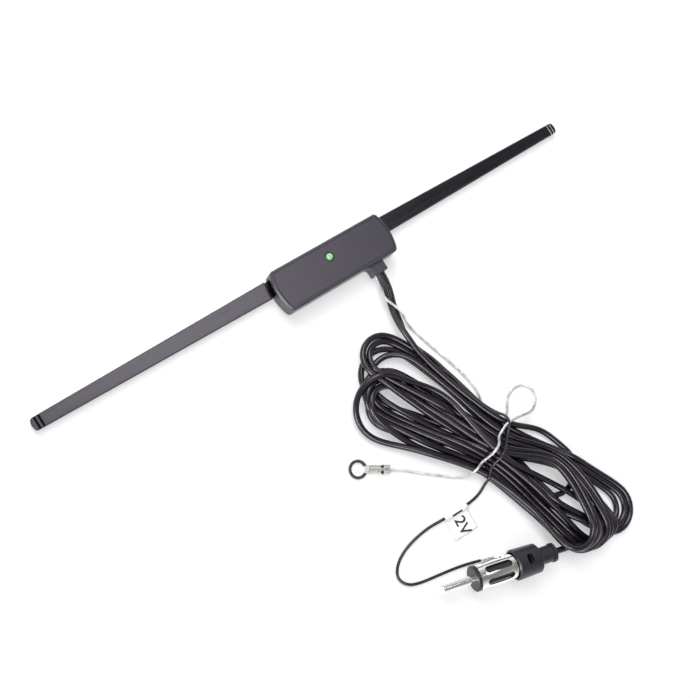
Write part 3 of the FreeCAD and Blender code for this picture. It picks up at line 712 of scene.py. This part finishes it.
def cable_strands():
    """Points along the laid cable, in millimetres, for wires that lie on it."""
    knots = bpy.data.objects["coax_cable"].data.splines[0].points
    route = [tuple(p.co[i] / MM for i in range(3)) for p in knots]
    return np.array(read_line(route, READ_STEPS)) / MM


def laid_over(places, radius, strands, spread):
    """Gives each (x, y) the height at which a wire bridges the turns of cable round it."""
    reach = sizes().coax_diameter / MM / 2 + radius
    laid = []
    for x, y in places:
        gap = np.hypot(strands[:, 0] - x, strands[:, 1] - y)
        near = gap < reach + spread
        top = strands[near, 2].max() + reach if near.any() else radius + FLOOR_GAP
        laid.append((x, y, float(top)))
    return laid


STRAND_STEP = 0.0008
STRAND_SIDES = 8
# Strands press into each other, so each is a little larger than a loose ring of them would allow
STRAND_BITE = 1.15


def strands_tree():
    """Strands laid in a ring and twisted along a line."""
    tree = bpy.data.node_groups.new("twisted_strands", "GeometryNodeTree")
    for name, kind in (("Line", "Geometry"), ("Strands", "Int"), ("Strand Radius", "Float"),
                       ("Lay Radius", "Float"), ("Pitch", "Float"), ("Finish", "Material")):
        tree.interface.new_socket(name, in_out="INPUT", socket_type="NodeSocket" + kind)
    tree.interface.new_socket("Wire", in_out="OUTPUT", socket_type="NodeSocketGeometry")
    given = add(tree, "NodeGroupInput").outputs
    line = add(tree, "GeometryNodeResampleCurve", {"Curve": given["Line"], "Length": STRAND_STEP},
               mode="LENGTH")
    way = add(tree, "GeometryNodeSplineParameter")
    turns = both(tree, way.outputs["Length"], given["Pitch"], "DIVIDE")
    angle = both(tree, turns, math.tau)
    twisted = add(tree, "GeometryNodeSetCurveTilt", {"Curve": line.outputs["Curve"], "Tilt": angle})
    ring = add(tree, "GeometryNodeCurvePrimitiveCircle", {"Resolution": given["Strands"],
                                                          "Radius": given["Lay Radius"]})
    strand = add(tree, "GeometryNodeCurvePrimitiveCircle", {"Resolution": STRAND_SIDES,
                                                            "Radius": given["Strand Radius"]})
    section = add(tree, "GeometryNodeInstanceOnPoints", {"Points": ring.outputs["Curve"],
                                                         "Instance": strand.outputs["Curve"]})
    section = add(tree, "GeometryNodeRealizeInstances", {"Geometry": section.outputs["Instances"]})
    wire = add(tree, "GeometryNodeCurveToMesh", {"Curve": twisted.outputs["Curve"],
                                                 "Profile Curve": section.outputs["Geometry"],
                                                 "Fill Caps": True})
    smooth = add(tree, "GeometryNodeSetShadeSmooth", {"Geometry": wire.outputs["Mesh"]})
    whole = add(tree, "GeometryNodeRealizeInstances", {"Geometry": smooth.outputs["Geometry"]})
    coated = add(tree, "GeometryNodeSetMaterial", {"Geometry": whole.outputs["Geometry"],
                                                   "Material": given["Finish"]})
    add(tree, "NodeGroupOutput", {"Wire": coated.outputs["Geometry"]})
    return tree


def twisted_wire(name, points, diameter, strands, pitch, finish):
    """Twisted bare wire as a plain mesh along a route's smooth line."""
    carrier = cord_curve(name + "_line", points, 0.0, TWIST_STEPS, 0)
    carrier.data.use_fill_caps = False
    lay = 1.0 / math.sin(math.pi / strands)
    strand_radius = STRAND_BITE * diameter / 2 / (1.0 + lay)
    values = {"Strands": strands, "Strand Radius": strand_radius,
              "Lay Radius": diameter / 2 - strand_radius, "Pitch": pitch, "Finish": finish}
    work = carrier.modifiers.new("strands", "NODES")
    work.node_group = strands_tree()
    for socket in work.node_group.interface.items_tree:
        if socket.name in values:
            work[socket.identifier] = values[socket.name]
    mesh = baked(carrier)
    mesh.name = name
    return placed(name, mesh)


GROUND_LEAD = [
    (14.6, -7.5, 1.7), (14.6, -14.5, 1.7), (13.0, -18.4, 2.4), (11.3, -21.0, 4.4), (11.2, -24.2, 5.8),
    (12.6, -27.6, 6.0), (13.8, -30.6, 5.2), (14.6, -33.6, 2.6), (15.4, -37.2, 0.8), (16.8, -42.0, 0.55),
    (19.8, -51.4, 0.55), (22.4, -58.4, 0.55), (24.6, -66.0, 0.55), (25.8, -72.6, 0.55), (25.2, -78.2, 0.55),
    (22.9, -83.2, 0.55), (21.6, -87.0, 0.55), (24.0, -91.0, 0.55),
]
GROUND_EYE = [
    (28.6, -91.0, 0.55), (32.4, -88.6, 0.55), (35.0, -84.2, 0.55), (39.4, -82.0, 0.55), (44.4, -82.4, 0.55),
    (48.0, -86.2, 0.55), (46.6, -91.8, 0.55), (41.4, -94.2, 1.4), (36.4, -93.0, 4.0),
]
GROUND_WRAP = [
    (31.0, -91.8), (26.6, -91.6), (23.6, -92.6), (20.4, -94.0), (17.2, -95.6), (13.6, -97.2), (11.0, -98.2),
    (8.6, -98.8), (5.0, -99.6),
]
GROUND_TAIL = [
    (2.4, -100.0, 2.2), (-0.6, -99.2, 0.6), (-4.6, -96.8, 0.55), (-8.4, -93.4, 0.55), (-13.2, -89.6, 0.55),
    (-18.4, -84.9, 0.55), (-22.14, -81.92, 1.0), (-31.55, -75.85, 1.0),
]


class ANTENNA_OT_ground(bpy.types.Operator):
    """Bare twisted ground wire that ties the hank and ends in the ring terminal"""
    bl_idname = "antenna.ground"
    bl_label = "Ground wire"

    def execute(self, context):
        size = sizes()
        radius = size.ground_diameter / MM / 2
        over = laid_over(GROUND_WRAP, radius, cable_strands(), WRAP_SPREAD)
        route = GROUND_LEAD + GROUND_EYE + over + GROUND_TAIL
        wire = twisted_wire("ground_wire", route, size.ground_diameter, size.strand_count, size.twist_pitch,
                            tinned_copper())
        seated(wire, "tinned_copper", "ground_lead", "ground_tail")
        read_line(route, TWIST_STEPS)
        return {"FINISHED"}


SUPPLY_LEAD = [
    (17.15, -7.5, 4.0), (17.15, -14.5, 4.0), (16.0, -21.2, 3.9), (13.7, -27.2, 3.5), (12.5, -33.6, 3.6),
]
SUPPLY_BESIDE = [
    (12.3, -39.6), (13.0, -45.4), (14.8, -51.4), (16.9, -57.6), (18.6, -64.4), (20.3, -71.4), (22.9, -79.0),
    (26.0, -85.2),
]
SUPPLY_WRAP = [
    (28.8, -89.4), (27.4, -92.8), (24.2, -95.4), (19.8, -98.2), (15.4, -100.4), (11.6, -101.9),
    (9.4, -103.0), (8.0, -104.2), (7.0, -105.4),
]
SUPPLY_TAIL = [
    (6.0, -106.6, 1.8), (4.6, -107.6, 0.7), (2.4, -108.5, 0.65), (-1.0, -109.1, 0.9), (-5.6, -109.2, 1.05),
    (-11.0, -108.8, 1.05), (-17.0, -108.3, 1.05), (-21.0, -107.8, 0.8), (-25.0, -107.5, 0.65),
    (-31.4, -107.9, 0.65), (-37.6, -109.2, 0.65), (-42.8, -111.9, 0.65), (-45.6, -116.0, 0.65),
    (-43.4, -120.6, 0.65), (-38.2, -122.8, 0.65), (-32.2, -124.2, 0.65), (-25.6, -125.8, 0.65),
    (-19.2, -127.6, 0.65), (-13.0, -130.0, 0.65),
]
BARE_END = [(-15.4, -129.1, 0.65), (-13.0, -130.0, 0.65), (-10.0, -131.1, 0.65), (-7.4, -132.2, 0.65)]
BARE_DIAMETER = 0.0009
BARE_STRANDS = 5


class ANTENNA_OT_supply(bpy.types.Operator):
    """Black supply wire with its bare tinned end"""
    bl_idname = "antenna.supply"
    bl_label = "Supply wire"

    def execute(self, context):
        size = sizes()
        radius = size.supply_diameter / MM / 2
        strands = cable_strands()
        beside = laid_over(SUPPLY_BESIDE, radius, strands, -radius)
        wrap = laid_over(SUPPLY_WRAP, radius, strands, WRAP_SPREAD)
        route = SUPPLY_LEAD + beside + wrap + SUPPLY_TAIL
        wire = cord_curve("supply_wire", route, size.supply_diameter, SUPPLY_STEPS, SUPPLY_SIDES)
        wire.data.materials.append(wire_pvc())
        seated(wire, "wire_jacket", "power_lead", "power_tail")
        bare = twisted_wire("supply_bare_end", BARE_END, BARE_DIAMETER, BARE_STRANDS, size.twist_pitch,
                            tinned_copper())
        seated(bare, "tinned_copper", "power_wire_end")
        return {"FINISHED"}


# Folded label: its middle, the wire's way through it, half of its run along the wire, its paper, and its
# fold from the lower leaf's edge, round the wire, to the upper leaf's edge, as reach from the wire and
# height above the floor
FLAG_MIDDLE = (-11.0, -108.8)
FLAG_WAY = (0.9969, -0.0788)
FLAG_HALF = 5.5
FLAG_PAPER = 0.15
FLAG_FOLD = [
    (10.0, 0.10), (7.0, 0.10), (4.0, 0.12), (2.0, 0.14), (0.9, 0.16), (0.0, 0.22),
    (-0.62, 0.48), (-0.88, 1.05), (-0.62, 1.68), (0.0, 1.94), (0.66, 1.72), (1.2, 1.2),
    (1.9, 0.72), (3.0, 0.46), (5.0, 0.40), (7.5, 0.42), (9.8, 0.56),
]
FLAG_STEPS = 12
# Corners of the upper leaf: where their curl starts, over how long a run it grows, and how high
CURL_START = 3.0
CURL_RUN = 7.0
CURL_RISE = 0.15
# Printed mark: height of its letters and their share of the type size, its start from the wire, its place
# over the paper, its weight, and how finely its outline is split to follow the leaf
MARK_HEIGHT = 4.7
LETTER_SHARE = 0.7
MARK_START = -1.0
MARK_LIFT = 0.03
MARK_BOLD = 0.1
MARK_EDGE = 0.4
MARK_ROUNDS = 3


def on_flag(along, reach, height):
    """Place of a point of the folded label in the part's frame, in metres."""
    across = (FLAG_WAY[1], -FLAG_WAY[0])
    x = FLAG_MIDDLE[0] + along * FLAG_WAY[0] + reach * across[0]
    y = FLAG_MIDDLE[1] + along * FLAG_WAY[1] + reach * across[1]
    return Vector((x, y, height)) * MM


def flag_lift(along, reach):
    """The free corners of the upper leaf curl up a little."""
    out = max(0.0, reach - CURL_START) / CURL_RUN
    return CURL_RISE * (along / FLAG_HALF) ** 2 * out ** 2


def flag_line():
    """Fold of the label as a smooth line of reach and height."""
    line = read_line([(0.0, q, z) for q, z in FLAG_FOLD], READ_STEPS)
    return [(p[1] / MM, p[2] / MM) for p in line]


class ANTENNA_OT_flag(bpy.types.Operator):
    """Folded paper label on the supply wire with its voltage mark"""
    bl_idname = "antenna.flag"
    bl_label = "Voltage label"

    def execute(self, context):
        fold = flag_line()
        top = next(i for i, place in enumerate(fold) if place[1] == max(z for _, z in fold))
        bm = bmesh.new()
        rows = []
        for step in range(FLAG_STEPS + 1):
            along = FLAG_HALF * (2.0 * step / FLAG_STEPS - 1.0)
            rows.append([bm.verts.new(on_flag(along, q, z + (flag_lift(along, q) if i > top else 0.0)))
                         for i, (q, z) in enumerate(fold)])
        for one, two in zip(rows, rows[1:]):
            for i in range(len(fold) - 1):
                bm.faces.new((one[i], one[i + 1], two[i + 1], two[i]))
        bmesh.ops.recalc_face_normals(bm, faces=bm.faces)
        for face in bm.faces:
            face.smooth = True
        mesh = to_mesh("voltage_flag", bm)
        flag = placed("voltage_flag", mesh)
        thick = flag.modifiers.new("paper", "SOLIDIFY")
        thick.thickness = FLAG_PAPER * MM
        thick.offset = 0.0
        mesh.materials.append(label_paper())
        seated(flag, "flag_paper", "wire_flag")
        self.make_mark(fold[top:])
        return {"FINISHED"}

    def make_mark(self, leaf):
        """Generic voltage mark printed from the wire out along the upper leaf."""
        text = bpy.data.curves.new("voltage_mark", "FONT")
        text.body = "12V"
        text.size = MARK_HEIGHT / LETTER_SHARE
        text.offset = MARK_BOLD
        text.align_y = "CENTER"
        flat = baked(placed("lettering", text))
        bm = bmesh.new()
        bm.from_mesh(flat)
        bmesh.ops.triangulate(bm, faces=bm.faces)
        for _ in range(MARK_ROUNDS):
            long_edges = [e for e in bm.edges if e.calc_length() > MARK_EDGE]
            bmesh.ops.subdivide_edges(bm, edges=long_edges, cuts=1)
            bmesh.ops.triangulate(bm, faces=bm.faces)
        reaches = [q for q, _ in leaf]
        heights = [z for _, z in leaf]
        for vert in bm.verts:
            reach = MARK_START + vert.co.x
            along = vert.co.y
            height = float(np.interp(reach, reaches, heights)) + flag_lift(along, reach)
            vert.co = on_flag(along, reach, height + FLAG_PAPER / 2 + MARK_LIFT)
        bmesh.ops.recalc_face_normals(bm, faces=bm.faces)
        mesh = to_mesh("voltage_mark", bm)
        bpy.data.meshes.remove(flat)
        mark = placed("voltage_mark", mesh)
        mesh.materials.append(printing_ink())
        seated(mark, "flag_paper")


# Components on the board: finish with its two tones and roughness, then slot and node
COMPONENTS = [
    ("moulded_epoxy", "141416", "242428", 0.5, "moulded_epoxy", "transistor"),
    ("dipped_resin", "b0741f", "c98a2c", 0.35, "moulded_epoxy", "tantalum_capacitor"),
    ("fired_ceramic", "8a6f55", "a58a6c", 0.5, "chip_ceramic", "ceramic_capacitors"),
    ("glazed_resistor", "1c1c20", "2c2c30", 0.3, "chip_ceramic", "resistors"),
    ("sintered_ferrite", "242326", "353437", 0.6, "ferrite", "rf_choke"),
]


class ANTENNA_OT_housing(bpy.types.Operator):
    """Amplifier housing, its base, tape, lamp and circuit board"""
    bl_idname = "antenna.housing"
    bl_label = "Amplifier housing"

    def execute(self, context):
        dress(spark_abs(), "housing_abs", "housing_cover", "housing_base")
        dress(foam_tape(), "foam_tape", "housing_tape", "right_arm_tape", "left_arm_tape")
        dress(lamp_epoxy(), "green_lens", "power_led")
        dress(board_laminate(), "board_laminate", "circuit_board")
        for name, low, high, roughness, slot, node in COMPONENTS:
            dress(component_body(name, low, high, roughness), slot, node)
        return {"FINISHED"}


class ANTENNA_OT_arms(bpy.types.Operator):
    """Arms with the copper elements under them"""
    bl_idname = "antenna.arms"
    bl_label = "Arms"

    def execute(self, context):
        dress(satin_polystyrene(), "arm_plastic", "right_arm", "left_arm")
        dress(drawn_copper(), "copper", "right_element", "left_element")
        return {"FINISHED"}


class ANTENNA_OT_plug(bpy.types.Operator):
    """Radio plug with its sprung shell"""
    bl_idname = "antenna.plug"
    bl_label = "Radio plug"

    def execute(self, context):
        dress(nickel_plate(), "nickel_plate", "plug_pin", "plug_shell")
        dress(moulded_nylon(), "plug_plastic", "plug_insulator", "plug_collar", "plug_sleeve")
        return {"FINISHED"}


class ANTENNA_OT_terminal(bpy.types.Operator):
    """Ring terminal crimped on the ground wire"""
    bl_idname = "antenna.terminal"
    bl_label = "Ring terminal"

    def execute(self, context):
        dress(tinned_brass(), "tinned_brass", "ring_terminal")
        return {"FINISHED"}


PIECE_OPERATORS = [
    ANTENNA_OT_coax, ANTENNA_OT_ground, ANTENNA_OT_flag, ANTENNA_OT_supply,
    ANTENNA_OT_housing, ANTENNA_OT_arms, ANTENNA_OT_plug, ANTENNA_OT_terminal,
]


class ANTENNA_OT_stage(bpy.types.Operator):
    """Camera, pale floor and soft studio light"""
    bl_idname = "antenna.stage"
    bl_label = "Stage"

    def execute(self, context):
        make_camera()
        make_floor()
        make_lights()
        context.scene.view_settings.view_transform = "Standard"
        return {"FINISHED"}


# Where the viewer stands, read from the way the arms and the plug foreshorten
CAMERA_TARGET = (-11.73, -32.07, 0.0)
CAMERA_DISTANCE = 356.7
CAMERA_AZIMUTH = math.radians(-87.0)
CAMERA_ELEVATION = math.radians(69.0)
CAMERA_ROLL = math.radians(54.8)
CAMERA_LENS = 46.42
SENSOR_WIDTH = 36.0
CLIP_START = 0.01
CLIP_END = 20.0


def make_camera():
    """Camera at the viewer's place, rolled about its line of sight."""
    data = bpy.data.cameras.new("camera")
    data.lens = CAMERA_LENS
    data.sensor_width = SENSOR_WIDTH
    data.clip_start = CLIP_START
    data.clip_end = CLIP_END
    camera = placed("camera", data)
    flat = math.cos(CAMERA_ELEVATION)
    back = Vector((math.sin(CAMERA_AZIMUTH) * flat, -math.cos(CAMERA_AZIMUTH) * flat,
                   math.sin(CAMERA_ELEVATION)))
    level = Vector((math.cos(CAMERA_AZIMUTH), math.sin(CAMERA_AZIMUTH), 0.0))
    rise = back.cross(level)
    right = math.cos(CAMERA_ROLL) * level + math.sin(CAMERA_ROLL) * rise
    up = math.cos(CAMERA_ROLL) * rise - math.sin(CAMERA_ROLL) * level
    place = Vector(CAMERA_TARGET) * MM + back * CAMERA_DISTANCE * MM
    turn = Matrix((right, up, back)).transposed().to_4x4()
    camera.matrix_world = Matrix.Translation(place) @ turn
    bpy.context.scene.camera = camera


# Table: half its width, its depth under the antenna, its colour, how much it glows near the antenna and in
# shiny faces, and the distances between which it fades to white
FLOOR_HALF = 3.0
FLOOR_DROP = 0.0002
FLOOR_COLOUR = "d2d2d4"
FLOOR_GLOW = 0.46
FLOOR_MIRRORED = 0.6
FADE_START = 0.3
FADE_END = 1.0
# Even light of the room, and its pale walls that only shiny faces show
WORLD_STRENGTH = 0.22
WALL_STRENGTH = 1.0
WALL_FOOT = 0.1
WALL_TOP = 0.85


def seen_mirrored(tree, path):
    """1 where a shiny or clear face looks, otherwise 0."""
    return both(tree, path["Is Glossy Ray"], path["Is Transmission Ray"], "MAXIMUM")


def make_floor():
    """Matt white table that fades to white far off; its glow lights nothing, so shadows stay on it."""
    bm = bmesh.new()
    bmesh.ops.create_grid(bm, x_segments=1, y_segments=1, size=FLOOR_HALF,
                          matrix=Matrix.Translation((0.0, 0.0, -FLOOR_DROP)))
    mesh = to_mesh("floor", bm)
    floor = placed("floor", mesh)
    material = bpy.data.materials.new("matt_white_table")
    material.use_nodes = True
    tree = material.node_tree
    tree.nodes.clear()
    path = add(tree, "ShaderNodeLightPath").outputs
    mirrored = both(tree, seen_mirrored(tree, path), FLOOR_MIRRORED)
    place = add(tree, "ShaderNodeTexCoord").outputs["Object"]
    away = add(tree, "ShaderNodeVectorMath", {0: place}, operation="LENGTH").outputs["Value"]
    far = add(tree, "ShaderNodeMapRange", {"Value": away, "From Min": FADE_START, "From Max": FADE_END,
                                           "To Min": FLOOR_GLOW})
    glow = add(tree, "ShaderNodeMath", {0: path["Is Camera Ray"], 1: far.outputs["Result"], 2: mirrored},
               operation="MULTIPLY_ADD")
    matt = add(tree, "ShaderNodeBsdfDiffuse", {"Color": linear(FLOOR_COLOUR)})
    light = add(tree, "ShaderNodeEmission", {"Strength": glow.outputs[0]})
    surface = add(tree, "ShaderNodeAddShader", {0: matt.outputs[0], 1: light.outputs[0]})
    add(tree, "ShaderNodeOutputMaterial", {"Surface": surface.outputs[0]})
    mesh.materials.append(material)


# Lamps: name, place, what it looks at, size, power and whether it lights matt faces too
LAMPS = [
    ("key_softbox", (0.05, 0.78, 0.95), (0.0, -0.05, 0.0), 0.7, 8.8, True),
    ("top_softbox", (0.15, 0.14, 1.0), (0.15, 0.14, 0.0), 0.52, 3.0, True),
    ("side_panel", (-0.9, -0.35, 0.55), (0.0, -0.08, 0.0), 1.1, 4.5, True),
    ("sheen_panel", (-0.5, -0.62, 0.85), (0.02, -0.1, 0.0), 0.55, 7.5, False),
    ("edge_panel", (-0.85, -0.05, 0.4), (0.0, 0.0, 0.0), 0.4, 6.0, False),
]


def make_lights():
    """Pale room and the lamps in it."""
    world = bpy.data.worlds.new("studio")
    world.use_nodes = True
    tree = world.node_tree
    path = add(tree, "ShaderNodeLightPath").outputs
    mirrored = seen_mirrored(tree, path)
    way = add(tree, "ShaderNodeTexCoord").outputs["Generated"]
    rise = add(tree, "ShaderNodeSeparateXYZ", {"Vector": way}).outputs["Z"]
    wall = add(tree, "ShaderNodeMapRange", {"Value": rise, "From Min": WALL_FOOT, "From Max": WALL_TOP,
                                            "To Min": WALL_STRENGTH - WORLD_STRENGTH, "To Max": 0.0})
    shown = add(tree, "ShaderNodeMath", {0: wall.outputs["Result"], 1: mirrored, 2: WORLD_STRENGTH},
                operation="MULTIPLY_ADD")
    strength = both(tree, shown.outputs[0], path["Is Camera Ray"], "MAXIMUM")
    sky = tree.nodes["Background"]
    sky.inputs["Color"].default_value = linear("ffffff")
    tree.links.new(strength, sky.inputs["Strength"])
    bpy.context.scene.world = world
    for name, place, aim, size, power, matt in LAMPS:
        data = bpy.data.lights.new(name, "AREA")
        data.size = size
        data.energy = power
        lamp = placed(name, data)
        lamp.location = place
        lamp.visible_diffuse = matt
        lamp.rotation_euler = (Vector(place) - Vector(aim)).to_track_quat("Z", "Y").to_euler()


class ANTENNA_PT_panel(bpy.types.Panel):
    """Lists the antenna's pieces in the sidebar"""
    bl_idname = "ANTENNA_PT_panel"
    bl_label = "Windshield Antenna"
    bl_space_type = "VIEW_3D"
    bl_region_type = "UI"
    bl_category = "Antenna"

    def draw(self, context):
        for operator in PIECE_OPERATORS + [ANTENNA_OT_stage]:
            self.layout.operator(operator.bl_idname)
        for group in (context.scene.antenna_sizes, context.scene.antenna_colours):
            for key in group.__annotations__:
                self.layout.prop(group, key)


CLASSES = [AntennaSizes, AntennaColours] + PIECE_OPERATORS + [ANTENNA_OT_stage, ANTENNA_PT_panel]


def register():
    for one in CLASSES:
        bpy.utils.register_class(one)
    bpy.types.Scene.antenna_sizes = PointerProperty(type=AntennaSizes)
    bpy.types.Scene.antenna_colours = PointerProperty(type=AntennaColours)


def unregister():
    del bpy.types.Scene.antenna_colours
    del bpy.types.Scene.antenna_sizes
    for one in reversed(CLASSES):
        bpy.utils.unregister_class(one)


def main():
    register()
    bpy.ops.antenna.stage()
    bpy.ops.antenna.coax()
    bpy.ops.antenna.ground()
    bpy.ops.antenna.flag()
    bpy.ops.antenna.supply()
    bpy.ops.antenna.housing()
    bpy.ops.antenna.arms()
    bpy.ops.antenna.plug()
    bpy.ops.antenna.terminal()


if __name__ == "__main__":
    main()
